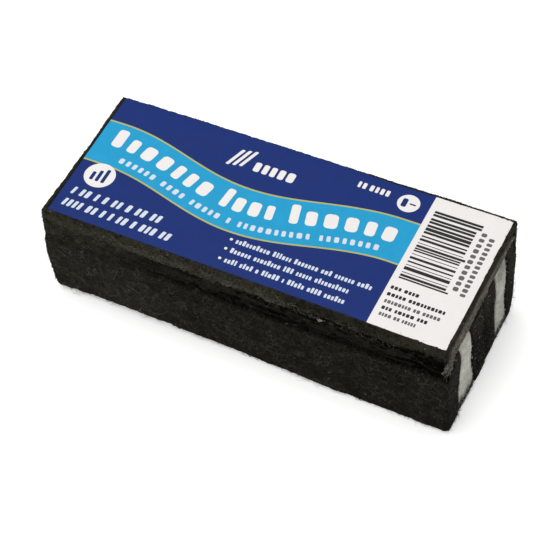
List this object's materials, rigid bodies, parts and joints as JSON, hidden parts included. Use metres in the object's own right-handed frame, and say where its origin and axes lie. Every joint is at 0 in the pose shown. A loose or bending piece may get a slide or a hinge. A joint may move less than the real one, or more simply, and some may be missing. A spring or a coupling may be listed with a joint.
{
  "type": "chalkboard eraser",
  "caption": "Block eraser of felt strips stood on edge under a stiff backing and a thin felt cover, sewn through both long sides, for wiping chalk or marker off boards.",
  "frame": {"origin": "centre of the wiping face, on the surface the eraser rests on", "axes": "+X along the length, +Y across from the front long side to the back, +Z from the wiping face to the label"},
  "size_m": [0.127, 0.0508, 0.0333],
  "materials": {
    "felt_black": "matted wool felt, near black with a slight olive cast, short loose fibres and grey lint",
    "felt_white": "matted wool felt, off-white",
    "backing_grey": "coarse pressed fibre, grey-brown, fraying at its cut edge",
    "label_paper": "satin coated paper, dark blue with a light blue band and a white panel",
    "thread_black": "twisted black cotton thread"
  },
  "bodies": {
    "root": {"top_label": "label_paper", "felt_cover": "felt_black", "backing_pad": "backing_grey", "felt_strip_1_black": "felt_black", "felt_strip_2_white": "felt_white", "felt_strip_3_black": "felt_black", "felt_strip_4_black": "felt_black", "felt_strip_5_white": "felt_white", "felt_strip_6_black": "felt_black", "upper_seam_needle_thread": "thread_black", "upper_seam_bobbin_thread": "thread_black", "lower_seam_needle_thread": "thread_black", "lower_seam_bobbin_thread": "thread_black"}
  },
  "joints": []
}
